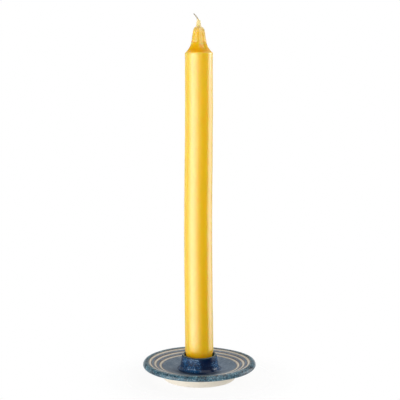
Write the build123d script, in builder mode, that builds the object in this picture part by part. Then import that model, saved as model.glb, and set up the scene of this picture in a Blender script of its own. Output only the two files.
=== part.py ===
from build123d import *
from math import asin, cos, degrees, radians, sin, sqrt, tan
import os

# A straight moulded candle that stands in a thrown stoneware saucer with a raised socket.
# The origin is the centre of the foot ring on the table. +Z is up and the wick leans towards -X.
# Every size is in millimetres.

# Saucer: a shallow spherical bowl on a turned foot ring, thrown in cream stoneware
foot_diameter = 56.8
foot_ring_width = 4.2
foot_recess_depth = 2.2
foot_draft_angle = 6.0
foot_edge_radius = 0.6
floor_thickness = 2.8
socket_well_depth = 1.2
socket_seat_depth = 0.4
bowl_radius = 115.0
rim_diameter = 88.2
rim_crown_radius = 2.4
rim_edge_radius = 1.0
underside_angle = 15.0
underside_fillet_radius = 1.5

# Three bare clay ridges thrown on the slope of the bowl, between the bands of glaze
rim_slope_width = 0.9
ridge_spacing = 4.15
ridge_width = 1.8
ridge_height = 0.5

# Socket: a thrown collar luted into a seat in the middle of the bowl
socket_height = 12.2
socket_base_wall = 3.0
socket_lip_wall = 1.25
socket_lip_radius = 0.75
lip_round_share = 0.45

# Glaze: a fired coat on the clay, which pools in a toe round the socket
glaze_thickness = 0.4
glaze_toe_reach = 2.0
glaze_toe_climb = 4.4
glaze_stop_angle = 20.0

# Candle: one casting with a moulder's draft, a narrower heel for the socket and a bell-shaped tip
candle_base_diameter = 22.5
candle_draft = 1.0
candle_body_length = 249.5
candle_base_edge_radius = 0.6
candle_heel_inset = 0.9
candle_heel_height = 12.2
candle_heel_rise = 6.2
shoulder_edge_radius = 0.25
socket_clearance = 0.55
bell_foot_height = 8.5
bell_foot_diameter = 11.6
bell_side_height = 7.9
bell_side_draft_angle = 9.0
bell_dome_height = 3.9
stub_base_diameter = 3.9
stub_top_diameter = 2.6
stub_height = 4.4
stub_fillet_radius = 0.9
stub_edge_radius = 0.3

# Wick: a braided cotton cord, cast in along the axis, whose free end leans over
wick_diameter = 1.3
wick_lean_angle = 30.0
wick_curl_radius = 20.0
wick_curl_angle = 15.0
wick_cup_depth = 0.12
wick_cup_clearance = 0.06
wick_end_gap = 0.02

# Heights and radii of the holder that follow from the driving sizes
floor_z = foot_recess_depth + floor_thickness
seat_z = floor_z + socket_well_depth
socket_lip_z = seat_z + socket_height
foot_radius = foot_diameter / 2
foot_inner_radius = foot_radius - foot_ring_width
rim_radius = rim_diameter / 2
bore_radius = candle_base_diameter / 2 + socket_clearance + glaze_thickness
socket_base_radius = bore_radius + socket_base_wall
socket_lip_outer_radius = bore_radius + socket_lip_wall
bowl_centre_z = seat_z + socket_seat_depth + sqrt(bowl_radius**2 - socket_base_radius**2)

# The crown of the rim leaves the bowl on a tangent and ends upright at the rim's radius
crown_angle = degrees(asin((rim_radius - rim_crown_radius) / (bowl_radius + rim_crown_radius)))
edge_turn = 90 - underside_angle


def bowl_angle(radius):
    """Angle on the bowl's sphere, up from its lowest point, at a radius from the axis."""
    return degrees(asin(radius / bowl_radius))


def bowl_point(angle, lift=0.0):
    """Point of the (radius, height) section at a lift above the clay of the bowl."""
    reach = bowl_radius - lift
    return (reach * sin(radians(angle)), bowl_centre_z - reach * cos(radians(angle)))


def bowl_arc(start_angle, end_angle, lift=0.0):
    """Stretch of the bowl's section between two angles, at a lift above its clay."""
    return CenterArc(
        (0, bowl_centre_z), bowl_radius - lift, start_angle - 90, end_angle - start_angle
    )


def rim_edge(lift, turn):
    """Draw the rim's section from the bowl over the crown, and return its lower edge."""
    heading = (cos(radians(crown_angle)), sin(radians(crown_angle)))
    crown = JernArc(
        bowl_point(crown_angle, lift), heading, rim_crown_radius + lift, -90 - crown_angle
    )
    return JernArc(crown @ 1, crown % 1, rim_edge_radius + lift, -turn)


# Places of the seat, the glaze's toe and the ridges on the bowl
seat_angle = bowl_angle(socket_base_radius)
toe_angle = bowl_angle(socket_base_radius + glaze_thickness + glaze_toe_reach)
crown_start_radius = bowl_radius * sin(radians(crown_angle))
outer_ridge_radius = crown_start_radius - rim_slope_width - ridge_width / 2
outer_ridge = bowl_angle(outer_ridge_radius)
middle_ridge = bowl_angle(outer_ridge_radius - ridge_spacing)
inner_ridge = bowl_angle(outer_ridge_radius - 2 * ridge_spacing)
ridge_half = degrees(ridge_width / 2 / bowl_radius)

# Saucer
foot_slope = tan(radians(foot_draft_angle))
underside_slope = tan(radians(underside_angle))
with BuildPart() as saucer:
    with BuildSketch(Plane.XZ) as saucer_section:
        with BuildLine():
            rim_end = rim_edge(0, edge_turn) @ 1
            waist_radius = (
                foot_radius + foot_slope * (rim_end.Y - underside_slope * rim_end.X)
            ) / (1 - foot_slope * underside_slope)
            waist_z = rim_end.Y - underside_slope * (rim_end.X - waist_radius)
            Polyline(
                rim_end,
                (waist_radius, waist_z),
                (foot_radius, 0),
                (foot_inner_radius, 0),
                (foot_inner_radius - foot_slope * foot_recess_depth, foot_recess_depth),
                (0, foot_recess_depth),
                (0, floor_z),
                (bore_radius, floor_z),
                (bore_radius, seat_z),
                (socket_base_radius, seat_z),
                bowl_point(seat_angle),
            )
            bowl_start = seat_angle
            for ridge in (inner_ridge, middle_ridge, outer_ridge):
                bowl_arc(bowl_start, ridge - ridge_half)
                ThreePointArc(
                    bowl_point(ridge - ridge_half),
                    bowl_point(ridge, ridge_height),
                    bowl_point(ridge + ridge_half),
                )
                bowl_start = ridge + ridge_half
            bowl_arc(bowl_start, crown_angle)
        make_face()
        foot_corners = saucer_section.vertices().group_by(Axis.Y)[0]
        fillet(foot_corners, foot_edge_radius)
        waist = saucer_section.vertices().sort_by_distance((waist_radius, waist_z))[0]
        fillet(waist, underside_fillet_radius)
    revolve(axis=Axis.Z)
saucer.part.label = "saucer"

# Socket collar
with BuildPart() as candle_socket:
    with BuildSketch(Plane.XZ) as socket_section:
        with BuildLine():
            Polyline(
                (bore_radius, seat_z),
                (socket_base_radius, seat_z),
                (socket_lip_outer_radius, socket_lip_z),
                (bore_radius, socket_lip_z),
                close=True,
            )
        make_face()
        lip_corners = socket_section.vertices().group_by(Axis.Y)[-1]
        fillet(lip_corners, min(socket_lip_radius, lip_round_share * socket_lip_wall))
    revolve(axis=Axis.Z)
candle_socket.part.label = "candle_socket"

# Glaze on the socket: up the bore, over the lip and down the wall to the toe on the bowl
wall_lean = (socket_base_wall - socket_lip_wall) / socket_height
toe_start_z = bowl_point(seat_angle)[1] + glaze_toe_climb
toe_start_radius = socket_base_radius - wall_lean * (toe_start_z - seat_z)
with BuildPart() as socket_glaze:
    with BuildSketch(Plane.XZ):
        add(socket_section.sketch_local)
        offset(amount=glaze_thickness, kind=Kind.ARC)
        with BuildLine():
            toe_start = (toe_start_radius + glaze_thickness, toe_start_z)
            toe_end = bowl_point(toe_angle, glaze_thickness)
            TangentArc(toe_start, toe_end, tangent=(wall_lean, -1))
            Polyline(
                toe_end,
                bowl_point(toe_angle),
                (socket_base_radius, seat_z),
                (toe_start_radius, toe_start_z),
                toe_start,
            )
        make_face()
        add(saucer_section.sketch_local, mode=Mode.SUBTRACT)
        add(socket_section.sketch_local, mode=Mode.SUBTRACT)
        with Locations((0, seat_z)):
            Rectangle(
                2 * socket_base_radius,
                2 * glaze_thickness,
                align=(Align.CENTER, Align.MAX),
                mode=Mode.SUBTRACT,
            )
    revolve(axis=Axis.Z)
socket_glaze.part.label = "socket_glaze"


# Glaze on the bowl: a coat from the socket's toe to the first ridge, and one between ridges
def glaze_band(name, start_angle, end_angle):
    """Coat of glaze on the bowl between two angles."""
    with BuildPart() as band:
        with BuildSketch(Plane.XZ):
            with BuildLine():
                bowl_arc(start_angle, end_angle)
                Line(bowl_point(end_angle), bowl_point(end_angle, glaze_thickness))
                bowl_arc(start_angle, end_angle, glaze_thickness)
                Line(bowl_point(start_angle, glaze_thickness), bowl_point(start_angle))
            make_face()
        revolve(axis=Axis.Z)
    band.part.label = name
    return band


well_glaze = glaze_band("well_glaze", toe_angle, inner_ridge - ridge_half)
inner_band_glaze = glaze_band(
    "inner_band_glaze", inner_ridge + ridge_half, middle_ridge - ridge_half
)
outer_band_glaze = glaze_band(
    "outer_band_glaze", middle_ridge + ridge_half, outer_ridge - ridge_half
)

# Glaze on the rim: from the outer ridge over the crown, stopping short of the underside
rim_glaze_start = outer_ridge + ridge_half
rim_glaze_turn = edge_turn - glaze_stop_angle
with BuildPart() as rim_glaze:
    with BuildSketch(Plane.XZ):
        with BuildLine():
            bowl_arc(rim_glaze_start, crown_angle)
            clay_edge = rim_edge(0, rim_glaze_turn)
            bowl_arc(rim_glaze_start, crown_angle, glaze_thickness)
            coat_edge = rim_edge(glaze_thickness, rim_glaze_turn)
            Line(clay_edge @ 1, coat_edge @ 1)
            Line(bowl_point(rim_glaze_start), bowl_point(rim_glaze_start, glaze_thickness))
        make_face()
    revolve(axis=Axis.Z)
rim_glaze.part.label = "rim_glaze"

# Heights and radii of the candle that follow from the driving sizes
shoulder_z = floor_z + candle_body_length
bell_foot_z = shoulder_z + bell_foot_height
bell_side_z = bell_foot_z + bell_side_height
dome_z = bell_side_z + bell_dome_height
stub_top_z = dome_z + stub_height
wick_radius = wick_diameter / 2
wick_top_z = stub_top_z - wick_cup_depth
pivot_z = wick_top_z + wick_end_gap + wick_radius

# Wick: the straight cord inside the wax
with BuildPart() as wick:
    with BuildSketch(Plane.XY.offset(floor_z)):
        Circle(wick_radius)
    extrude(amount=wick_top_z - floor_z)
wick.part.label = "wick"

# Free end of the wick, which bends about a point just above the wax
with BuildPart() as wick_end:
    with BuildLine(Plane.XZ) as wick_curl:
        lean = radians(90 + wick_lean_angle)
        JernArc((0, pivot_z), (cos(lean), sin(lean)), wick_curl_radius, wick_curl_angle)
    with BuildSketch(Plane(wick_curl.line @ 0, z_dir=wick_curl.line % 0)):
        Circle(wick_radius)
    sweep()
    with Locations((0, 0, pivot_z)):
        Sphere(wick_radius)
wick_end.part.label = "wick_end"

# Candle: the wax cast round the wick, with a cup in the stub for the wick's bend
heel_radius = candle_base_diameter / 2 - candle_heel_inset
heel_top_z = floor_z + candle_heel_height
body_z = heel_top_z + candle_heel_rise
body_draft = candle_draft / 2 / candle_body_length
body_radius = candle_base_diameter / 2 - body_draft * (body_z - floor_z)
base_edge = (heel_radius, floor_z)
heel_top = (heel_radius, heel_top_z)
heel_middle = ((heel_radius + body_radius) / 2, (heel_top_z + body_z) / 2)
body_start = (body_radius, body_z)
shoulder_edge = ((candle_base_diameter - candle_draft) / 2, shoulder_z)
bell_side_run = bell_side_height * tan(radians(bell_side_draft_angle))
bell_foot = (bell_foot_diameter / 2, bell_foot_z)
bell_side = (bell_foot_diameter / 2 - bell_side_run, bell_side_z)
stub_base = (stub_base_diameter / 2, dome_z)
stub_top = (stub_top_diameter / 2, stub_top_z)
with BuildPart() as candle_wax:
    with BuildSketch(Plane.XZ) as wax_section:
        with BuildLine():
            TangentArc(bell_foot, shoulder_edge, tangent=(bell_side_run, -bell_side_height))
            Line(bell_foot, bell_side)
            TangentArc(bell_side, stub_base, tangent=(-bell_side_run, bell_side_height))
            Polyline(
                stub_base, stub_top, (0, stub_top_z), (0, floor_z), base_edge, heel_top
            )
            heel_curve = TangentArc(heel_top, heel_middle, tangent=(0, 1))
            TangentArc(heel_middle, body_start, tangent=heel_curve % 1)
            Line(body_start, shoulder_edge)
        make_face()
        for corner, radius in (
            (base_edge, candle_base_edge_radius),
            (shoulder_edge, shoulder_edge_radius),
            (stub_base, stub_fillet_radius),
            (stub_top, stub_edge_radius),
        ):
            fillet(wax_section.vertices().sort_by_distance(corner)[0], radius)
    revolve(axis=Axis.Z)
    add(wick.part, mode=Mode.SUBTRACT)
    with Locations((0, 0, stub_top_z)):
        Cylinder(
            wick_radius + wick_cup_clearance,
            wick_cup_depth,
            align=(Align.CENTER, Align.CENTER, Align.MAX),
            mode=Mode.SUBTRACT,
        )
candle_wax.part.label = "candle_wax"

# One STEP file for each piece
os.makedirs("parts", exist_ok=True)
for piece in (
    saucer,
    candle_socket,
    socket_glaze,
    well_glaze,
    inner_band_glaze,
    outer_band_glaze,
    rim_glaze,
    candle_wax,
    wick,
    wick_end,
):
    export_step(piece.part, f"parts/{piece.part.label}.step")
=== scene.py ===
import math

import bmesh
import bpy
import numpy as np
from mathutils import Matrix, Vector, noise


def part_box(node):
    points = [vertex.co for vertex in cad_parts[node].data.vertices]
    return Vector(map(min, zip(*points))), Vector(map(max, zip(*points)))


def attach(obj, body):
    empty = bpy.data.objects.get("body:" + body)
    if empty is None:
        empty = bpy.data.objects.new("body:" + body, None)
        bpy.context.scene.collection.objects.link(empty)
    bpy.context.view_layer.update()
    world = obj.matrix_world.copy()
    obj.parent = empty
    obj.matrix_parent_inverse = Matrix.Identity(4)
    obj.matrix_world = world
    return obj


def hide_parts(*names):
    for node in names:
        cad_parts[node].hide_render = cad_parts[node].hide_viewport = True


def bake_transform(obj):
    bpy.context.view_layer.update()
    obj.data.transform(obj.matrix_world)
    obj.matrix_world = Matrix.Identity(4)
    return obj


# A moulded beeswax candle with a braided wick, in a glazed stoneware saucer holder.
# Metres, +Z up, -Y towards the viewer. The holder is turned about the Z axis.

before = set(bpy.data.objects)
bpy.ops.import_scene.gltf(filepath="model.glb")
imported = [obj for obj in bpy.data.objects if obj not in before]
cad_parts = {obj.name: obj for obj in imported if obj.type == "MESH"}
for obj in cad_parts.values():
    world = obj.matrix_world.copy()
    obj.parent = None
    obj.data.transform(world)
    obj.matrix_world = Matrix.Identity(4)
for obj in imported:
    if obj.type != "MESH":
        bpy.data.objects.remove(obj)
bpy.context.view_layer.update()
MM = 0.001
TINY = 1e-7

# Sizes read from the frame
saucer_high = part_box("saucer")[1]
socket_low, socket_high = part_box("candle_socket")
wax_low, wax_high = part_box("candle_wax")
RIM_RADIUS = saucer_high.x
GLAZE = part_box("rim_glaze")[1].x - RIM_RADIUS
SEAT_Z = socket_low.z
LIP_Z = socket_high.z
SOCKET_RADIUS = socket_high.x
FLOOR_Z = wax_low.z
STUB_TOP_Z = wax_high.z
WICK_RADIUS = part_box("wick")[1].x

# Clay of the holder, with angles in degrees
HOLDER_SIDES = 240
BOWL_RADIUS = 115 * MM
SEAT_DEPTH = 0.4 * MM
CROWN_RADIUS = 2.4 * MM
EDGE_RADIUS = 1.0 * MM
UNDERSIDE_ANGLE = 15.0
FOOT_RADIUS = 28.4 * MM
FOOT_WIDTH = 4.2 * MM
FOOT_DRAFT = 6.0
FOOT_ROUND = 0.6 * MM
FOOT_HEIGHT = 6.0 * MM
WAIST_ROUND = 1.5 * MM
RECESS_DEPTH = 2.2 * MM
RIDGE_COUNT = 3
RIDGE_WIDTH = 1.8 * MM
RIDGE_HEIGHT = 0.5 * MM
RIDGE_SPACING = 4.15 * MM
RIM_SLOPE_WIDTH = 0.9 * MM
SOCKET_CLEARANCE = 0.55 * MM
LIP_WALL = 1.25 * MM
LIP_ROUND = 0.56 * MM

# Unevenness of the holder: angle, reach and depth of each low place of the rim, and its oval
RIM_SAGS = ((55.0, 60.0, 0.8 * MM), (-90.0, 100.0, 0.3 * MM))
OVAL_SHARE = 0.0012
OVAL_ANGLE = 120

# Glaze: its coat thins at its edges, ripples a little, and its bed lies just inside the clay
COAT_EDGE = 0.55 * MM
COAT_RIPPLE = 0.06
RIPPLE_LENGTH = 1.7 * MM
COAT_BED = 0.05 * MM
RIDGE_LAP = 0.15 * MM
TOE_LAP = 0.6 * MM
TOE_REACH = 2.0 * MM
TOE_CLIMB = 4.4 * MM
GLAZE_STOP_ANGLE = 20.0
GLAZE_TAIL_ANGLE = 14.0

# Candle
CANDLE_SIDES = 192
CANDLE_RADIUS = 11.25 * MM
CANDLE_DRAFT = 0.5 * MM
BODY_LENGTH = 249.5 * MM
BASE_ROUND = 0.6 * MM
HEEL_INSET = 0.9 * MM
HEEL_HEIGHT = 12.2 * MM
HEEL_RISE = 6.2 * MM
SHOULDER_ROUND = 0.25 * MM
BELL_FOOT_HEIGHT = 8.5 * MM
BELL_FOOT_RADIUS = 5.8 * MM
BELL_SIDE_HEIGHT = 7.9 * MM
BELL_SIDE_DRAFT = 9.0
BELL_DOME_HEIGHT = 3.9 * MM
STUB_BASE_RADIUS = 1.95 * MM
STUB_TOP_RADIUS = 1.3 * MM
STUB_FILLET = 0.9 * MM
STUB_TOP_ROUND = 0.25 * MM
HOLE_GAP = 0.03 * MM
HOLE_BEVEL = 0.1 * MM
HOLE_MOUTH = 0.3 * MM

# Unevenness of the candle: its lean, its bow to the left, and soft dents of two sizes
BASE_SHIFT = -0.08 * MM
BODY_LEAN = -0.26 * MM
TIP_LEAN = -0.22 * MM
TIP_LEAN_REACH = 1 * MM
BOW_DEPTH = -0.75 * MM
BOW_CENTRE_Z = 112 * MM
BOW_REACH = 105 * MM
SWELL_DEPTH = 0.08 * MM
SWELL_SCALE = 60
DENT_DEPTH = 0.045 * MM
DENT_SCALE = 240
DENT_SHIFT = Vector((3, 1, 4))
DENT_CORE = 0.3

# Wick and the wax film at its foot
WICK_LEAN = 30.0
WICK_CURL = 15.0
WICK_CURL_RADIUS = 20 * MM
WICK_ROWS = 420
WICK_PACE = 0.12 * MM
WICK_TURN_DEPTH = 1.2 * MM
WICK_TURN_LENGTH = 2.0 * MM
WICK_THINNING = 0.28
WICK_THINNING_LENGTH = 4 * MM
BRAID_PITCH = 4.2 * MM
BRAID_RADIUS = 0.38 * MM
BRAID_WEAVE = 0.07 * MM
STRANDS_EACH_WAY = 4
STRAND_RADIUS = 0.2 * MM
STRAND_SIDES = 6
FILM_BELOW = 0.5 * MM
FILM_ABOVE = 1.3 * MM
FILM_SHIFT = 0.18 * MM
FILM_FOOT_SHIFT = 0.37 * MM
FILM_RADIUS = 0.42 * MM
FILM_FOOT_RADIUS = 0.2 * MM
FILM_SIDES = 20

# Camera, with its pitch below the horizon in degrees
CAMERA_PLACE = (0.5 * MM, -788.5 * MM, 240.4 * MM)
CAMERA_PITCH = 7.15
CAMERA_LENS = 92.16
CAMERA_NEAR = 10 * MM
SENSOR_WIDTH = 36.0

# Lamps: name, place, the point they face, width, height and power
AIM = (0, 0, 0.12)
LAMPS = (
    ("key", (-0.76, -0.47, 0.07), AIM, 1.2, 0.95, 5.2),
    ("key_centre", (-0.71, -0.52, 0.07), AIM, 0.42, 0.95, 2.3),
    ("fill", (-0.34, -0.85, 0.08), AIM, 0.5, 0.85, 1.9),
    ("front", (0.02, -0.92, 0.08), AIM, 0.56, 0.85, 0.6),
    ("side_panel", (0.85, 0.25, 0.1), AIM, 0.75, 0.75, 3.8),
    ("side_lamp", (0.82, 0.26, 0.34), AIM, 0.07, 0.07, 0.45),
    ("left_back", (-0.82, 0.4, 0.15), AIM, 0.35, 0.9, 1.0),
    ("right_fill", (0.5, -0.55, 0.8), AIM, 1.1, 0.9, 4.6),
    ("top_panel", (0.1, 0.55, 0.85), (0, 0, 0.1), 1.2, 0.9, 5.2),
)

# Floor, which fades out between two radii, and how much of it glows by itself
FLOOR_HALF = 1.0
FLOOR_DROP = 0.02 * MM
FLOOR_FADE = (45 * MM, 90 * MM)
FLOOR_COLOUR = (0.9, 0.9, 0.9, 1)
FLOOR_GLOW = 0.4
FLOOR_GLOW_SEEN = 0.9

# Surroundings: between which directions the table and the wall's sides and top turn white,
# the level of the dim room, and how much of all this light reaches matt surfaces
TABLE_FADE = (-0.42, -0.7)
WALL_SIDE_FADE = (0.65, 0.9)
WALL_TOP_FADE = (0.32, 0.12)
ROOM_LEVEL = 0.03
MATT_LEVEL = 1.0


# Points of a section

def arc(centre, radius, start, end, steps):
    """Points of an arc in a (radius, height) section, between two angles in degrees."""
    angles = np.radians(np.linspace(start, end, steps + 1))
    return [(centre[0] + radius * math.cos(a), centre[1] + radius * math.sin(a)) for a in angles]


def arc_between(centre, radius, first, last, steps):
    """Points of an arc from one direction to another, the shorter way round."""
    start = math.degrees(math.atan2(first[1], first[0]))
    turn = math.degrees(math.atan2(first[0] * last[1] - first[1] * last[0], first @ last))
    return arc(centre, radius, start, start + turn, steps)


def line(start, end, steps):
    """Points of a straight stretch of a section."""
    start, end = np.array(start), np.array(end)
    return [tuple(start + (end - start) * t) for t in np.linspace(0, 1, steps + 1)]


def towards(start, end):
    """Unit vector from one point of a section to another."""
    way = np.array(end) - np.array(start)
    return way / np.linalg.norm(way)


def rounded(before, corner, after, radius, steps):
    """Points of an arc that rounds a corner between two straight stretches."""
    corner = np.array(corner)
    to_before = towards(corner, before)
    to_after = towards(corner, after)
    half = math.acos(float(np.clip(to_before @ to_after, -1, 1))) / 2
    middle = (to_before + to_after) / np.linalg.norm(to_before + to_after)
    centre = corner + middle * radius / math.sin(half)
    first = corner + to_before * radius / math.tan(half) - centre
    last = corner + to_after * radius / math.tan(half) - centre
    return arc_between(centre, radius, first, last, steps)


def tangent_arc(start, heading, end, steps):
    """Points of the arc that leaves start along heading and reaches end."""
    start, end = np.array(start), np.array(end)
    normal = np.array([-heading[1], heading[0]]) / np.hypot(*heading)
    chord = end - start
    radius = chord @ chord / (2 * normal @ chord)
    centre = start + normal * radius
    return arc_between(centre, abs(radius), start - centre, end - centre, steps)


def joined(*stretches):
    """One list of points from several stretches, without points that repeat."""
    points = []
    for stretch in stretches:
        for point in stretch:
            if not points or math.dist(point, points[-1]) > TINY:
                points.append(tuple(point))
    return points


def swell_at(away, reach):
    """Soft hump: 1 where away is 0, falling to 0 at the reach."""
    return math.cos(0.5 * math.pi * min(abs(away) / reach, 1.0)) ** 2


# Meshes

def mesh_piece(name, points, faces, material):
    """Object from points and faces, smooth, with its faces turned outwards."""
    mesh = bpy.data.meshes.new(name)
    mesh.from_pydata(points, [], faces)
    work = bmesh.new()
    work.from_mesh(mesh)
    bmesh.ops.recalc_face_normals(work, faces=work.faces)
    work.to_mesh(mesh)
    work.free()
    mesh.shade_smooth()
    mesh.materials.append(material)
    piece = bpy.data.objects.new(name, mesh)
    bpy.context.scene.collection.objects.link(piece)
    return piece


def turned(name, section, sides, material, warp, closed=False):
    """Mesh turned about the Z axis from a section. warp moves each point by its place."""
    points, faces, rings = [], [], []
    for radius, height in section:
        count = sides if radius > TINY else 1
        ring = []
        for i in range(count):
            angle = 2 * math.pi * i / sides
            place = Vector((radius * math.cos(angle), radius * math.sin(angle), height))
            ring.append(len(points))
            points.append(warp(place))
        rings.append(ring)
    pairs = list(zip(rings, rings[1:]))
    if closed:
        pairs.append((rings[-1], rings[0]))
    for a, b in pairs:
        for i in range(sides):
            j = (i + 1) % sides
            corners = [a[i % len(a)], a[j % len(a)], b[j % len(b)], b[i % len(b)]]
            face = list(dict.fromkeys(corners))
            if len(face) > 2:
                faces.append(face)
    return mesh_piece(name, points, faces, material)


def finished(piece, body, slot, *nodes):
    """Set the body that a piece rides on and hide the CAD nodes that it stands for. The finish, slot,
    is not used.
    """
    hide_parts(*nodes)
    if body:
        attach(piece, body)


# Colours and shader nodes

def srgb(red, green, blue):
    """Linear colour from 8-bit display values."""
    def linear(value):
        value /= 255
        return value / 12.92 if value <= 0.04045 else ((value + 0.055) / 1.055) ** 2.4
    return (linear(red), linear(green), linear(blue), 1.0)


class Nodes:
    """A node tree, with short calls for the nodes that the materials and the world use."""

    def __init__(self, tree):
        self.nodes = tree.nodes
        self.links = tree.links

    def feed(self, socket, value):
        """Link an output to a socket, or set the socket to a constant."""
        if isinstance(value, bpy.types.NodeSocket):
            self.links.new(value, socket)
        else:
            socket.default_value = value

    def maths(self, operation, a, b=0.0, c=0.0):
        """One arithmetic node."""
        node = self.nodes.new("ShaderNodeMath")
        node.operation = operation
        for socket, value in zip(node.inputs, (a, b, c)):
            self.feed(socket, value)
        return node.outputs[0]

    def step(self, value, low, high, start=0.0, end=1.0):
        """value from low to high mapped smoothly to start to end."""
        node = self.nodes.new("ShaderNodeMapRange")
        node.interpolation_type = "SMOOTHSTEP"
        self.feed(node.inputs["Value"], value)
        for name, number in (("From Min", low), ("From Max", high), ("To Min", start), ("To Max", end)):
            node.inputs[name].default_value = number
        return node.outputs["Result"]

    def rays(self):
        """Two outputs: 1 for camera rays, and 1 for rays that a glossy or clear surface sends on."""
        path = self.nodes.new("ShaderNodeLightPath").outputs
        mirrored = self.maths("MAXIMUM", path["Is Glossy Ray"], path["Is Transmission Ray"])
        return path["Is Camera Ray"], mirrored


class Paint(Nodes):
    """A material's node tree, with places on the piece and calls for textures."""

    # Colour sockets of the Mix node, where each name occurs once for each kind of data
    MIX_A = 6
    MIX_B = 7
    MIX_RESULT = 2

    def __init__(self, name):
        self.material = bpy.data.materials.new(name)
        self.material.use_nodes = True
        super().__init__(self.material.node_tree)
        self.surface = self.nodes["Principled BSDF"]
        self.place = self.nodes.new("ShaderNodeTexCoord").outputs["Object"]
        split = self.nodes.new("ShaderNodeSeparateXYZ")
        self.links.new(self.place, split.inputs[0])
        self.across = split.outputs["X"]
        self.depth = split.outputs["Y"]
        self.height = split.outputs["Z"]
        flat = self.nodes.new("ShaderNodeVectorMath")
        flat.operation = "MULTIPLY"
        self.links.new(self.place, flat.inputs[0])
        flat.inputs[1].default_value = (1, 1, 0)
        reach = self.nodes.new("ShaderNodeVectorMath")
        reach.operation = "LENGTH"
        self.links.new(flat.outputs[0], reach.inputs[0])
        self.radius = reach.outputs["Value"]

    def set(self, **values):
        """Set or link inputs of the surface; an underscore stands for a space."""
        for name, value in values.items():
            self.feed(self.surface.inputs[name.replace("_", " ")], value)

    def stretched(self, x, y, z):
        """The place with each axis scaled."""
        node = self.nodes.new("ShaderNodeMapping")
        node.inputs["Scale"].default_value = (x, y, z)
        self.links.new(self.place, node.inputs["Vector"])
        return node.outputs[0]

    def noise(self, size, detail=3.0, roughness=0.5, place=None, seed=0.0):
        """Soft noise from 0 to 1 with features about size metres across."""
        node = self.nodes.new("ShaderNodeTexNoise")
        node.noise_dimensions = "4D"
        node.inputs["Scale"].default_value = 1 / size
        node.inputs["Detail"].default_value = detail
        node.inputs["Roughness"].default_value = roughness
        node.inputs["W"].default_value = seed
        self.links.new(place or self.place, node.inputs["Vector"])
        return node.outputs["Fac"]

    def cells(self, size, seed):
        """Distance to the nearest of scattered points about size metres apart."""
        node = self.nodes.new("ShaderNodeTexVoronoi")
        node.voronoi_dimensions = "4D"
        node.inputs["Scale"].default_value = 1 / size
        node.inputs["W"].default_value = seed
        self.links.new(self.place, node.inputs["Vector"])
        return node.outputs["Distance"]

    def band(self, value, centre, half_width, edge):
        """1 within half_width of the centre, falling to 0 over the edge."""
        away = self.maths("ABSOLUTE", self.maths("SUBTRACT", value, centre))
        return self.step(away, half_width, half_width + edge, 1.0, 0.0)

    def front(self, slant, low, high):
        """0 at depth low to 1 at depth high, where the slant adds a share of the place across."""
        return self.step(self.maths("MULTIPLY_ADD", self.across, slant, self.depth), low, high)

    def mix(self, factor, a, b):
        """Mix of two colours."""
        node = self.nodes.new("ShaderNodeMix")
        node.data_type = "RGBA"
        self.feed(node.inputs["Factor"], factor)
        self.feed(node.inputs[self.MIX_A], a)
        self.feed(node.inputs[self.MIX_B], b)
        return node.outputs[self.MIX_RESULT]

    def bump(self, height, depth, normal=None):
        """Normal of a surface raised by up to depth metres where height is 1."""
        node = self.nodes.new("ShaderNodeBump")
        node.inputs["Distance"].default_value = depth
        self.feed(node.inputs["Height"], height)
        if normal:
            self.links.new(normal, node.inputs["Normal"])
        return node.outputs[0]


# Outline of the holder's clay and glaze

BORE_RADIUS = CANDLE_RADIUS + SOCKET_CLEARANCE + GLAZE
BOWL_CENTRE_Z = SEAT_Z + SEAT_DEPTH + math.sqrt(BOWL_RADIUS**2 - SOCKET_RADIUS**2)
CROWN_ANGLE = math.degrees(math.asin((RIM_RADIUS - CROWN_RADIUS) / (BOWL_RADIUS + CROWN_RADIUS)))
CROWN_CENTRE = (
    RIM_RADIUS - CROWN_RADIUS,
    BOWL_CENTRE_Z - (BOWL_RADIUS + CROWN_RADIUS) * math.cos(math.radians(CROWN_ANGLE)),
)
EDGE_CENTRE = (RIM_RADIUS - EDGE_RADIUS, CROWN_CENTRE[1])
CROWN_START = BOWL_RADIUS * math.sin(math.radians(CROWN_ANGLE))
OUTER_RIDGE = CROWN_START - RIM_SLOPE_WIDTH - RIDGE_WIDTH / 2
RIDGES = [OUTER_RIDGE - RIDGE_SPACING * i for i in range(RIDGE_COUNT)]
BARE_HALF = RIDGE_WIDTH / 2 - RIDGE_LAP
TOE_RADIUS = SOCKET_RADIUS + GLAZE + TOE_REACH


def bowl(radius, lift=0.0):
    """Point of the bowl's section at a radius, lifted square to its clay."""
    angle = math.asin(radius / BOWL_RADIUS)
    reach = BOWL_RADIUS - lift
    return (reach * math.sin(angle), BOWL_CENTRE_Z - reach * math.cos(angle))


def ridge_height(radius):
    """Height of the bare ridges above the bowl at a radius."""
    height = 0.0
    for ridge in RIDGES:
        across = (radius - ridge) / (RIDGE_WIDTH / 2)
        if abs(across) < 1:
            height = RIDGE_HEIGHT * (1 - across**2)
    return height


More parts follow.
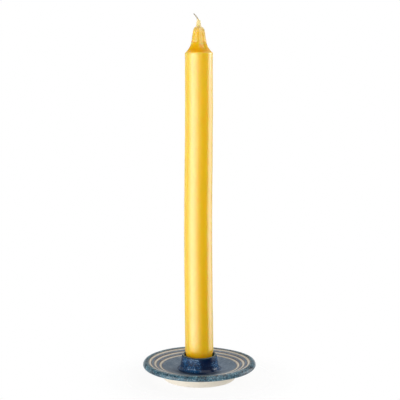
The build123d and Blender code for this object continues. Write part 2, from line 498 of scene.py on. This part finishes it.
def clay_section():
    """Section of the saucer's clay, from the middle of its underside to the socket's floor."""
    slope = math.tan(math.radians(FOOT_DRAFT))
    fall = math.tan(math.radians(UNDERSIDE_ANGLE))
    edge = arc(EDGE_CENTRE, EDGE_RADIUS, UNDERSIDE_ANGLE - 90, 0, steps=14)
    end = edge[0]
    waist_radius = (FOOT_RADIUS + slope * (end[1] - fall * end[0])) / (1 - slope * fall)
    waist = (waist_radius, end[1] - fall * (end[0] - waist_radius))
    inner = FOOT_RADIUS - FOOT_WIDTH
    middle = (0.0, RECESS_DEPTH)
    recess = (inner - slope * RECESS_DEPTH, RECESS_DEPTH)
    foot_in, foot_out = (inner, 0.0), (FOOT_RADIUS, 0.0)
    recess_round = rounded(middle, recess, foot_in, FOOT_ROUND, steps=6)
    inner_round = rounded(recess, foot_in, foot_out, FOOT_ROUND, steps=6)
    outer_round = rounded(foot_in, foot_out, waist, FOOT_ROUND, steps=6)
    waist_round = rounded(foot_out, waist, end, WAIST_ROUND, steps=8)
    return joined(
        line(middle, recess_round[0], steps=40),
        recess_round,
        inner_round,
        line(inner_round[-1], outer_round[0], steps=8),
        outer_round,
        line(outer_round[-1], waist_round[0], steps=18),
        waist_round,
        line(waist_round[-1], end, steps=30),
        edge,
        arc(CROWN_CENTRE, CROWN_RADIUS, 0, 90 + CROWN_ANGLE, steps=24),
        [bowl(r, ridge_height(r)) for r in np.linspace(CROWN_START, SOCKET_RADIUS, num=150)],
        [(SOCKET_RADIUS, SEAT_Z), (BORE_RADIUS, SEAT_Z), (BORE_RADIUS, FLOOR_Z), (0.0, FLOOR_Z)],
    )


def coat(radius, inner, outer=math.inf):
    """Thickness of a glaze band at a radius, drawn down to nothing at its edges."""
    edge = min(radius - inner, outer - radius) / COAT_EDGE
    full = 1.0 if edge >= 1 else math.sqrt(max(0.0, 1 - (1 - edge) ** 2))
    ripple = COAT_RIPPLE * math.sin(2 * math.pi * radius / RIPPLE_LENGTH)
    return GLAZE * full * (1 + ripple)


def band_section(inner, outer, count):
    """Closed section of a glaze band on the bowl, with a count of points on its top."""
    top = [bowl(r, coat(r, inner, outer)) for r in np.linspace(inner, outer, count)]
    bed = [bowl(r, -COAT_BED) for r in np.linspace(outer, inner, num=6)]
    return joined(top, bed)


def rim_section():
    """Closed section of the rim's glaze, from the outer ridge over the crown to the lower edge."""
    inner = RIDGES[0] + BARE_HALF
    stop = UNDERSIDE_ANGLE + GLAZE_STOP_ANGLE - 90
    return joined(
        [bowl(r, coat(r, inner)) for r in np.linspace(inner, CROWN_START, num=12)],
        arc(CROWN_CENTRE, CROWN_RADIUS + GLAZE, 90 + CROWN_ANGLE, 0, steps=36),
        arc(EDGE_CENTRE, EDGE_RADIUS + GLAZE, 0, stop, steps=16),
        arc(EDGE_CENTRE, EDGE_RADIUS - COAT_BED, stop - GLAZE_TAIL_ANGLE, 0, steps=8),
        arc(CROWN_CENTRE, CROWN_RADIUS - COAT_BED, 0, 90 + CROWN_ANGLE, steps=12),
        [bowl(r, -COAT_BED) for r in np.linspace(CROWN_START, inner, num=4)],
    )


def socket_section():
    """Closed section of the collar's glaze: up the bore, over the lip and down to the toe."""
    lean = (SOCKET_RADIUS - BORE_RADIUS - LIP_WALL) / (LIP_Z - SEAT_Z)
    lip_radius = BORE_RADIUS + LIP_WALL
    round_out = LIP_ROUND + GLAZE
    bore = BORE_RADIUS - GLAZE
    top = LIP_Z + GLAZE
    toe_z = bowl(SOCKET_RADIUS)[1] + TOE_CLIMB
    toe_start = (SOCKET_RADIUS + GLAZE - lean * (toe_z - SEAT_Z), toe_z)
    outer_corner = (lip_radius + GLAZE, top)
    inner_round = rounded((bore, SEAT_Z), (bore, top), outer_corner, round_out, steps=12)
    outer_round = rounded((bore, top), outer_corner, toe_start, round_out, steps=12)
    return joined(
        line((bore, SEAT_Z), inner_round[0], steps=16),
        inner_round,
        outer_round,
        line(outer_round[-1], toe_start, steps=40),
        tangent_arc(toe_start, (lean, -1.0), bowl(TOE_RADIUS, GLAZE), steps=14),
        [bowl(TOE_RADIUS, -COAT_BED), (SOCKET_RADIUS, SEAT_Z)],
    )


def thrown(place):
    """Point of the holder with the slight unevenness of a hand-thrown piece."""
    angle = math.degrees(math.atan2(place.y, place.x))
    share = math.hypot(place.x, place.y) / RIM_RADIUS
    sag = 0.0
    for low_angle, reach, depth in RIM_SAGS:
        sag += depth * swell_at((angle - low_angle + 180) % 360 - 180, reach)
    swell = 1 + OVAL_SHARE * share * math.sin(math.radians(2 * angle + OVAL_ANGLE))
    height = place.z - sag * share**3 * min(1.0, place.z / FOOT_HEIGHT)
    return Vector((place.x * swell, place.y * swell, height))


# Materials of the holder

CLAY = srgb(238, 231, 217)
CLAY_PALE = srgb(244, 239, 229)
CLAY_GRAIN = srgb(196, 180, 154)
CLAY_SPECK = srgb(134, 104, 74)
RING = srgb(204, 197, 183)
RING_PALE = srgb(230, 224, 211)
RING_SHADE = srgb(78, 74, 70)

# Height over the curve of the bowl at which the clay's underside ends and its top face begins
UNDERSIDE_END = 4.6 * MM
TOP_FACE_START = 5.2 * MM

# Painted shade on the inner ring in front: its slant, depths and radii
RING_SHADE_SLANT = 0.4
RING_SHADE_DEPTHS = (-24 * MM, -32 * MM)
RING_SHADE_RADII = (32.5 * MM, 33.5 * MM)

# Painted shade in front of the socket: its slant, depths, and radii on the bowl
FRONT_SHADE_SLANT = 0.1
FRONT_SHADE_DEPTHS = (-4 * MM, -13 * MM)
FRONT_SHADE_RADII = (TOE_RADIUS + 1 * MM, TOE_RADIUS + 10 * MM)

# Painted shade down the socket, right of its middle, where it is nearly plain, and whose edges wander
# with the clouds
RIGHT_SHADE_WANDER = 14 * MM
RIGHT_SHADE_PLACE = 12.5 * MM
RIGHT_SHADE_HALF = 2.4 * MM
RIGHT_SHADE_EDGE = 4.8 * MM
RIGHT_SHADE_SHARE = 0.08


def stoneware():
    """Bare cream clay, with thin glaze on the ridges of the bowl."""
    paint = Paint("cream_stoneware")
    grain = paint.noise(0.35 * MM, detail=4, roughness=0.6)
    blotch = paint.noise(9 * MM, seed=2.0)
    clay = paint.mix(blotch, CLAY, CLAY_PALE)
    clay = paint.mix(paint.step(grain, 0.4, 0.75, end=0.25), clay, CLAY_GRAIN)
    specks = paint.step(paint.cells(2.6 * MM, seed=4.0), 0.05, 0.11, 0.75, 0.0)
    clay = paint.mix(specks, clay, CLAY_SPECK)
    bowl_rise = paint.maths("MULTIPLY", paint.maths("POWER", paint.radius, 2.0), 0.5 / BOWL_RADIUS)
    over_bowl = paint.maths("SUBTRACT", paint.height, bowl_rise)
    top = paint.step(over_bowl, UNDERSIDE_END, TOP_FACE_START)
    streaks = paint.noise(1.2 * MM, detail=4, roughness=0.6, place=paint.stretched(1, 1, 0.3), seed=7.0)
    ring = paint.mix(streaks, RING, RING_PALE)
    # Painted shade: the inner ring turns darker at its front.
    inner_ring = paint.step(paint.radius, *RING_SHADE_RADII, 0.8, 0.0)
    shaded_front = paint.maths("MULTIPLY", paint.front(RING_SHADE_SLANT, *RING_SHADE_DEPTHS), inner_ring)
    ring = paint.mix(shaded_front, ring, RING_SHADE)
    paint.set(Base_Color=paint.mix(top, clay, ring))
    paint.set(Roughness=paint.step(top, 0.0, 1.0, 0.72, 0.3))
    paint.set(Normal=paint.bump(grain, 0.05 * MM))
    return paint.material


def glaze(
    name, deep, pale, fleck, share, rough, peel,
    shine=0.5, fine=1.0, right_shade=False, brown=None, front_shade=None, toe=None, lip=None, lip_edge=None,
):
    """Fired glaze: a deep ground with pale grain and crystal flecks, as strong as its share.

    rough and shine set its gloss, peel the depth of its dimples and fine the size of its grain.
    right_shade is painted shade: it thins the grain and flecks in one band down its right flank.
    brown is its colour beside the ridges, front_shade its painted shade in front of the socket,
    toe at the socket's foot, lip and lip_edge at the socket's top.
    """
    paint = Paint(name)
    cloud = paint.noise(7 * MM)
    grain = paint.noise(1.9 * MM * fine, detail=4, roughness=0.7, seed=3.0)
    tone = paint.maths("MULTIPLY_ADD", cloud, 0.6, grain)
    # Painted shade: one band down the right flank, where the pale grain and flecks nearly vanish.
    if right_shade:
        side = paint.maths("MULTIPLY_ADD", cloud, RIGHT_SHADE_WANDER, paint.across)
        shade_band = paint.band(side, RIGHT_SHADE_PLACE, RIGHT_SHADE_HALF, RIGHT_SHADE_EDGE)
        share = paint.step(shade_band, 0.0, 1.0, share, share * RIGHT_SHADE_SHARE)
    grains = paint.maths("MULTIPLY", paint.step(tone, 0.62, 0.98), share)
    colour = paint.mix(grains, deep, pale)
    spots = paint.step(paint.noise(1.2 * MM * fine, detail=2, seed=5.0), 0.54, 0.66)
    patch = paint.step(cloud, 0.4, 0.6, 0.2, 1.0)
    flecks = paint.maths("MULTIPLY", paint.maths("MULTIPLY", spots, patch), share)
    colour = paint.mix(flecks, colour, fleck)
    if brown:
        for ridge in RIDGES:
            edge = paint.band(paint.radius, ridge, RIDGE_WIDTH / 2, 0.7 * MM)
            colour = paint.mix(paint.maths("MULTIPLY", edge, 0.85), colour, brown)
    # Painted shade: dark glaze in front of the socket, on the well and at the front of the toe.
    if front_shade:
        front = paint.front(FRONT_SHADE_SLANT, *FRONT_SHADE_DEPTHS)
        if toe:
            ragged = paint.maths("MULTIPLY_ADD", grain, 1.6 * MM, paint.radius)
            foot = paint.step(ragged, SOCKET_RADIUS + 0.8 * MM, TOE_RADIUS + 0.6 * MM)
            colour = paint.mix(foot, colour, paint.mix(front, toe, front_shade))
        else:
            near = paint.step(paint.radius, *FRONT_SHADE_RADII, 0.9, 0.0)
            colour = paint.mix(paint.maths("MULTIPLY", near, front), colour, front_shade)
    if lip:
        colour = paint.mix(paint.step(paint.height, LIP_Z - 1.2 * MM, LIP_Z), colour, lip)
        top = paint.step(paint.height, LIP_Z + 0.1 * MM, LIP_Z + 0.36 * MM)
        colour = paint.mix(top, colour, lip_edge)
    paint.set(Base_Color=colour, Specular_IOR_Level=shine)
    paint.set(Roughness=paint.step(tone, 0.6, 1.0, rough * 0.8, rough * 1.3))
    dimples = paint.bump(paint.noise(1.7 * MM, roughness=0.6, seed=6.0), peel)
    pits = paint.step(paint.cells(1.7 * MM, seed=8.0), 0.03, 0.1)
    paint.set(Normal=paint.bump(pits, 0.02 * MM, dimples))
    return paint.material


CREAM = stoneware()
# Painted shade: its dark navy on the well in front of the socket.
SLATE = glaze(
    "slate_glaze", deep=srgb(68, 92, 116), pale=srgb(128, 146, 164), fleck=srgb(150, 163, 178),
    share=0.8, rough=0.45, peel=0.05 * MM, brown=srgb(120, 98, 82), front_shade=srgb(8, 32, 56),
)
TEAL = glaze(
    "teal_glaze", deep=srgb(0, 26, 44), pale=srgb(62, 112, 132), fleck=srgb(168, 200, 210),
    share=1.0, rough=0.3, peel=0.05 * MM, shine=0.7, fine=0.72, brown=srgb(104, 92, 78),
)
# Painted shade: its dark navy in front of the toe, and a nearly plain band down its right flank.
NAVY = glaze(
    "navy_glaze", deep=srgb(0, 17, 54), pale=srgb(22, 90, 142), fleck=srgb(148, 180, 216),
    share=1.0, rough=0.17, peel=0.16 * MM, shine=0.3, fine=0.65, right_shade=True,
    front_shade=srgb(8, 34, 62), toe=srgb(72, 90, 114), lip=srgb(2, 46, 66), lip_edge=srgb(92, 108, 108),
)


# Holder pieces

saucer = turned("saucer_clay", clay_section(), HOLDER_SIDES, CREAM, thrown)
finished(saucer, "holder", "stoneware", "saucer")

for node, inner, outer, count in (
    ("well_glaze", TOE_RADIUS - TOE_LAP, RIDGES[2] - BARE_HALF, 90),
    ("inner_band_glaze", RIDGES[2] + BARE_HALF, RIDGES[1] - BARE_HALF, 26),
    ("outer_band_glaze", RIDGES[1] + BARE_HALF, RIDGES[0] - BARE_HALF, 26),
):
    section = band_section(inner, outer, count)
    piece = turned(node + "_coat", section, HOLDER_SIDES, SLATE, thrown, closed=True)
    finished(piece, "holder", "slate_glaze", node)

rim = turned("rim_glaze_coat", rim_section(), HOLDER_SIDES, TEAL, thrown, closed=True)
finished(rim, "holder", "teal_glaze", "rim_glaze")

collar = turned("socket_glaze_coat", socket_section(), HOLDER_SIDES, NAVY, thrown, closed=True)
finished(collar, "holder", "navy_glaze", "socket_glaze", "candle_socket")


# Candle

SHOULDER_Z = FLOOR_Z + BODY_LENGTH
BELL_FOOT_Z = SHOULDER_Z + BELL_FOOT_HEIGHT
BELL_SIDE_Z = BELL_FOOT_Z + BELL_SIDE_HEIGHT
DOME_Z = BELL_SIDE_Z + BELL_DOME_HEIGHT
SHOULDER_RADIUS = CANDLE_RADIUS - CANDLE_DRAFT

# Heights near the base: painted shade deepens the wax's colour downwards, and the wax is clearer and
# glossier upwards
BASE_SHADE = (27 * MM, 16 * MM)
BASE_CLEAR = (18 * MM, 28 * MM)
BASE_POLISH = (17 * MM, 34 * MM)

GOLD = srgb(255, 198, 2)
GOLD_CLOUD = srgb(255, 203, 4)
GOLD_MOTTLE = srgb(255, 214, 20)
GOLD_BASE_SHADE = srgb(206, 138, 4)
GOLD_BELL = srgb(252, 196, 12)
GOLD_TIP_GLOW = srgb(255, 232, 160)
GOLD_FLARE_SHADE = srgb(222, 158, 2)


def bow(height):
    """Sideways shift of the candle's axis at a height."""
    lean = BODY_LEAN * (height - FLOOR_Z) / BODY_LENGTH
    sag = BOW_DEPTH * swell_at(height - BOW_CENTRE_Z, BOW_REACH)
    tip = TIP_LEAN * (1 - swell_at(max(height - BELL_SIDE_Z, 0.0), BELL_DOME_HEIGHT + TIP_LEAN_REACH))
    return BASE_SHIFT + lean + sag + tip


def cast(place):
    """Point of the candle with its bow and the soft dents of a wax casting."""
    radius = math.hypot(place.x, place.y)
    swell = SWELL_DEPTH * noise.noise(place * SWELL_SCALE)
    swell += DENT_DEPTH * noise.noise(place * DENT_SCALE + DENT_SHIFT)
    share = 1 + swell / max(radius, CANDLE_RADIUS * DENT_CORE)
    return Vector((place.x * share + bow(place.z), place.y * share, place.z))


def candle_section():
    """Closed section of the wax: its base, sides, bell and stub, and down the wick's hole."""
    run = BELL_SIDE_HEIGHT * math.tan(math.radians(BELL_SIDE_DRAFT))
    heel_radius = CANDLE_RADIUS - HEEL_INSET
    base, heel_top = (heel_radius, FLOOR_Z), (heel_radius, FLOOR_Z + HEEL_HEIGHT)
    rise = HEEL_HEIGHT + HEEL_RISE
    body = (CANDLE_RADIUS - CANDLE_DRAFT * rise / BODY_LENGTH, FLOOR_Z + rise)
    heel_middle = ((heel_top[0] + body[0]) / 2, (heel_top[1] + body[1]) / 2)
    shoulder = (SHOULDER_RADIUS, SHOULDER_Z)
    foot = (BELL_FOOT_RADIUS, BELL_FOOT_Z)
    side = (BELL_FOOT_RADIUS - run, BELL_SIDE_Z)
    stub = (STUB_BASE_RADIUS, DOME_Z)
    stub_top = (STUB_TOP_RADIUS, STUB_TOP_Z)
    hole = WICK_RADIUS + HOLE_GAP
    flare = tangent_arc(foot, (run, -BELL_SIDE_HEIGHT), shoulder, steps=40)[::-1]
    dome = tangent_arc(side, (-run, BELL_SIDE_HEIGHT), stub, steps=40)
    base_round = rounded((0.0, FLOOR_Z), base, heel_top, BASE_ROUND, steps=8)
    # Each arc counts as straight near the corner that is rounded at its end
    shoulder_round = rounded(body, shoulder, flare[3], SHOULDER_ROUND, steps=6)
    stub_round = rounded(dome[-8], stub, stub_top, STUB_FILLET, steps=10)
    top_round = rounded(stub, stub_top, (0.0, STUB_TOP_Z), STUB_TOP_ROUND, steps=8)
    flare = [p for p in flare if p[1] > shoulder_round[-1][1] + 0.1 * MM]
    dome = [p for p in dome if p[1] < stub_round[0][1] - 0.05 * MM]
    return joined(
        line((hole + HOLE_BEVEL, FLOOR_Z), base_round[0], steps=10),
        base_round,
        line(base_round[-1], heel_top, steps=10),
        tangent_arc(heel_top, (0.0, 1.0), heel_middle, steps=10),
        tangent_arc(body, (0.0, -1.0), heel_middle, steps=10)[::-1],
        line(body, shoulder_round[0], steps=180),
        shoulder_round,
        flare,
        line(foot, side, steps=16),
        dome,
        stub_round,
        line(stub_round[-1], top_round[0], steps=10),
        top_round,
        [(hole + HOLE_MOUTH, STUB_TOP_Z)],
        line((hole, STUB_TOP_Z - HOLE_BEVEL), (hole, FLOOR_Z + HOLE_BEVEL), steps=60),
    )


def beeswax():
    """Golden wax: translucent, satin and scuffed, with painted shade deepening its base and flare and
    painted light paling its dome and stub.
    """
    paint = Paint("beeswax")
    cloud = paint.noise(28 * MM, place=paint.stretched(1, 1, 0.35))
    mottle = paint.noise(3.5 * MM, detail=4, roughness=0.55, seed=5.0)
    gold = paint.mix(cloud, GOLD, GOLD_CLOUD)
    gold = paint.mix(paint.step(mottle, 0.45, 0.8, end=0.18), gold, GOLD_MOTTLE)
    # Painted shade: the wax's colour deepens towards the base, near the socket's mouth.
    base = paint.step(paint.height, *BASE_SHADE, end=0.65)
    gold = paint.mix(base, gold, GOLD_BASE_SHADE)
    bell = paint.step(paint.height, BELL_FOOT_Z - 4 * MM, BELL_FOOT_Z + 2 * MM, end=0.7)
    gold = paint.mix(bell, gold, GOLD_BELL)
    # Painted light: paler, brighter wax over the dome and stub, standing for light glowing through the
    # thin wax.
    stub = paint.step(paint.height, BELL_SIDE_Z - 2 * MM, DOME_Z + 2 * MM, end=0.85)
    gold = paint.mix(stub, gold, GOLD_TIP_GLOW)
    flare_start = paint.step(paint.height, SHOULDER_Z - 0.2 * MM, SHOULDER_Z + 0.4 * MM)
    flare_end = paint.step(paint.height, BELL_FOOT_Z - 8 * MM, BELL_FOOT_Z + 1.5 * MM, 1.0, 0.0)
    flare = paint.maths("MULTIPLY", flare_start, flare_end)
    # Painted shade: deeper amber over the flare.
    gold = paint.mix(paint.maths("MULTIPLY", flare, 0.6), gold, GOLD_FLARE_SHADE)
    paint.set(Base_Color=gold)
    paint.set(Roughness=paint.step(mottle, 0.3, 0.7, 0.36, 0.44))
    clear_tip = paint.step(paint.height, BELL_FOOT_Z, DOME_Z, 0.9, 0.15)
    clear_base = paint.step(paint.height, *BASE_CLEAR, 0.5, 1.0)
    paint.set(Subsurface_Weight=paint.maths("MULTIPLY", clear_tip, clear_base))
    scatter = paint.step(paint.height, BELL_FOOT_Z - 4 * MM, BELL_SIDE_Z, 13 * MM, 2 * MM)
    paint.set(Subsurface_Scale=scatter)
    paint.set(Subsurface_Radius=(1.0, 0.6, 0.1))
    paint.set(Specular_IOR_Level=0.15)
    polish_base = paint.step(paint.height, *BASE_POLISH, 0.3, 1.0)
    polish_flare = paint.step(flare, 0.0, 1.0, 1.0, 0.05)
    paint.set(Coat_Weight=paint.maths("MULTIPLY", polish_base, polish_flare))
    paint.set(Coat_IOR=2.0, Coat_Roughness=0.26)
    scuff = paint.noise(1.6 * MM, roughness=0.55, seed=9.0)
    paint.set(Normal=paint.bump(scuff, 0.045 * MM))
    return paint.material


WAX = beeswax()
candle = turned("candle_casting", candle_section(), CANDLE_SIDES, WAX, cast, closed=True)
finished(candle, "candle", "beeswax", "candle_wax")


# Wick

COTTON = srgb(170, 156, 132)
COTTON_PALE = srgb(216, 207, 186)
COTTON_WAXED = srgb(244, 224, 160)


def wick_path():
    """Points along the middle of the wick, from the candle's base to its free end."""
    inside = np.linspace(FLOOR_Z, STUB_TOP_Z - WICK_TURN_DEPTH, WICK_ROWS)
    rows = [Vector((bow(z), 0.0, z)) for z in inside]
    place = rows[-1].copy()
    free = WICK_CURL_RADIUS * math.radians(WICK_CURL)
    for i in range(1, int((WICK_TURN_LENGTH + free) / WICK_PACE) + 1):
        along = i * WICK_PACE
        if along < WICK_TURN_LENGTH:
            share = along / WICK_TURN_LENGTH
            lean = WICK_LEAN * share**2 * (3 - 2 * share)
        else:
            lean = WICK_LEAN + WICK_CURL * (along - WICK_TURN_LENGTH) / free
        angle = math.radians(lean)
        place = place + Vector((-math.sin(angle), 0.0, math.cos(angle))) * WICK_PACE
        rows.append(place.copy())
    return rows


def frames(path):
    """Each point of a path with two directions square to it that don't twist along it."""
    rows = []
    side = Vector((0, 1, 0))
    for i, place in enumerate(path):
        ahead = (path[min(i + 1, len(path) - 1)] - path[max(i - 1, 0)]).normalized()
        side = (side - ahead * side.dot(ahead)).normalized()
        rows.append((place, side, ahead.cross(side)))
    return rows


def tube(path, radii, sides, points, faces):
    """Add a closed tube along a path to lists of points and faces, with a radius at each point."""
    first = len(points)
    for (place, side, up), radius in zip(frames(path), radii):
        for k in range(sides):
            turn = 2 * math.pi * k / sides
            points.append(place + (side * math.cos(turn) + up * math.sin(turn)) * radius)
    for i in range(len(path) - 1):
        for k in range(sides):
            a = first + i * sides + k
            b = first + i * sides + (k + 1) % sides
            faces.append([a, b, b + sides, a + sides])
    last = first + (len(path) - 1) * sides
    faces.append([first + k for k in range(sides)])
    faces.append([last + k for k in range(sides)])


def braid(path, material):
    """Strands braided round a path, as many each way, over and under by turns."""
    points, faces = [], []
    thin = []
    for place in path:
        beyond = min(max(place.z - STUB_TOP_Z, 0.0) / WICK_THINNING_LENGTH, 1.0)
        thin.append(1 - WICK_THINNING * beyond)
    runs = [0.0]
    for before, place in zip(path, path[1:]):
        runs.append(runs[-1] + (place - before).length)
    rows = frames(path)
    radii = [STRAND_RADIUS * share for share in thin]
    crossings = 2 * STRANDS_EACH_WAY
    for way, offset in ((1, 0.0), (-1, math.pi / STRANDS_EACH_WAY)):
        for k in range(STRANDS_EACH_WAY):
            strand = []
            start = 2 * math.pi * k / STRANDS_EACH_WAY
            for (place, side, up), run, share in zip(rows, runs, thin):
                turn = way * 2 * math.pi * run / BRAID_PITCH + start + offset
                wave = math.cos(crossings * math.pi * run / BRAID_PITCH)
                reach = BRAID_RADIUS + way * BRAID_WEAVE * wave
                out = side * math.cos(turn) + up * math.sin(turn)
                strand.append(place + out * reach * share)
            tube(strand, radii, STRAND_SIDES, points, faces)
    return mesh_piece("wick_braid", points, faces, material)


def cotton():
    """Cotton yarn, waxed and golden near the stub and bare towards the free end."""
    paint = Paint("waxed_cotton")
    fibre = paint.noise(0.12 * MM, roughness=0.6)
    yarn = paint.mix(fibre, COTTON, COTTON_PALE)
    waxed = paint.step(paint.height, STUB_TOP_Z, STUB_TOP_Z + 1.8 * MM, 0.8, 0.0)
    paint.set(Base_Color=paint.mix(waxed, yarn, COTTON_WAXED))
    paint.set(Roughness=paint.step(waxed, 0.0, 0.8, 0.85, 0.4))
    paint.set(Normal=paint.bump(fibre, 0.03 * MM))
    return paint.material


def wax_film(path, material):
    """Thin wax drawn up the wick's under side from the stub."""
    film = [p for p in path if STUB_TOP_Z - FILM_BELOW < p.z < STUB_TOP_Z + FILM_ABOVE]
    points, faces, middle, radii = [], [], [], []
    for i, place in enumerate(film):
        left = 1 - i / (len(film) - 1)
        middle.append(place + Vector((-FILM_SHIFT - FILM_FOOT_SHIFT * left, 0, 0)))
        radii.append(FILM_RADIUS + FILM_FOOT_RADIUS * left)
    tube(middle, radii, FILM_SIDES, points, faces)
    return mesh_piece("wick_wax_film", points, faces, material)


wick_line = wick_path()
wick = braid(wick_line, cotton())
finished(wick, None, "cotton", "wick", "wick_end")
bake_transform(wick)
film = wax_film(wick_line, WAX)
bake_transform(film)


# Stage: camera, lamps, floor and surroundings

def place_camera():
    """Camera at the photograph's place and angle."""
    camera = bpy.data.objects.new("camera", bpy.data.cameras.new("camera"))
    bpy.context.scene.collection.objects.link(camera)
    camera.data.lens = CAMERA_LENS
    camera.data.sensor_width = SENSOR_WIDTH
    camera.data.sensor_fit = "HORIZONTAL"
    camera.data.clip_start = CAMERA_NEAR
    camera.location = CAMERA_PLACE
    camera.rotation_euler = (math.radians(90 - CAMERA_PITCH), 0, 0)
    bpy.context.scene.camera = camera


def softbox(name, place, target, width, height, power):
    """Rectangular studio lamp at a place, facing a target."""
    lamp = bpy.data.lights.new(name, "AREA")
    lamp.shape = "RECTANGLE"
    lamp.size = width
    lamp.size_y = height
    lamp.energy = power
    stand = bpy.data.objects.new(name, lamp)
    bpy.context.scene.collection.objects.link(stand)
    facing = (Vector(target) - Vector(place)).to_track_quat("-Z", "Y")
    stand.matrix_world = Matrix.Translation(place) @ facing.to_matrix().to_4x4()


def studio_floor():
    """White floor that keeps the shadow and fades into the white surroundings."""
    corners = [(-1, -1), (1, -1), (1, 1), (-1, 1)]
    points = [(x * FLOOR_HALF, y * FLOOR_HALF, 0) for x, y in corners]
    paint = Paint("studio_floor")
    nodes, links = paint.nodes, paint.links
    diffuse = nodes.new("ShaderNodeBsdfDiffuse")
    diffuse.inputs["Color"].default_value = FLOOR_COLOUR
    glow = nodes.new("ShaderNodeEmission")
    clear = nodes.new("ShaderNodeBsdfTransparent")
    seen, mirrored = paint.rays()
    shown = paint.maths("MAXIMUM", seen, mirrored)
    lit = nodes.new("ShaderNodeMixShader")
    links.new(paint.step(shown, 0.0, 1.0, FLOOR_GLOW, FLOOR_GLOW_SEEN), lit.inputs[0])
    links.new(diffuse.outputs[0], lit.inputs[1])
    links.new(glow.outputs[0], lit.inputs[2])
    fade = nodes.new("ShaderNodeMixShader")
    links.new(paint.step(paint.radius, *FLOOR_FADE), fade.inputs[0])
    links.new(lit.outputs[0], fade.inputs[1])
    links.new(clear.outputs[0], fade.inputs[2])
    links.new(fade.outputs[0], nodes["Material Output"].inputs["Surface"])
    floor = mesh_piece("floor", points, [[0, 1, 2, 3]], paint.material)
    floor.location.z = -FLOOR_DROP


def surroundings():
    """Studio: white to the camera, with a white table and back wall in a dim room."""
    world = bpy.data.worlds.new("studio")
    bpy.context.scene.world = world
    world.use_nodes = True
    tree = Nodes(world.node_tree)
    way = tree.nodes.new("ShaderNodeSeparateXYZ")
    tree.links.new(tree.nodes.new("ShaderNodeTexCoord").outputs["Generated"], way.inputs[0])
    table = tree.step(way.outputs["Z"], *TABLE_FADE)
    behind = tree.step(way.outputs["Y"], *WALL_SIDE_FADE)
    low = tree.step(way.outputs["Z"], *WALL_TOP_FADE)
    wall = tree.maths("MULTIPLY", behind, low)
    pale = tree.maths("MAXIMUM", tree.maths("MAXIMUM", table, wall), ROOM_LEVEL)
    seen, mirrored = tree.rays()
    level = tree.maths("MULTIPLY", pale, tree.maths("MAXIMUM", mirrored, MATT_LEVEL))
    sky = tree.nodes["Background"]
    sky.inputs["Color"].default_value = (1, 1, 1, 1)
    tree.links.new(tree.maths("MAXIMUM", level, seen), sky.inputs["Strength"])


place_camera()
for lamp_row in LAMPS:
    softbox(*lamp_row)
studio_floor()
surroundings()
bpy.context.scene.view_settings.view_transform = "Standard"
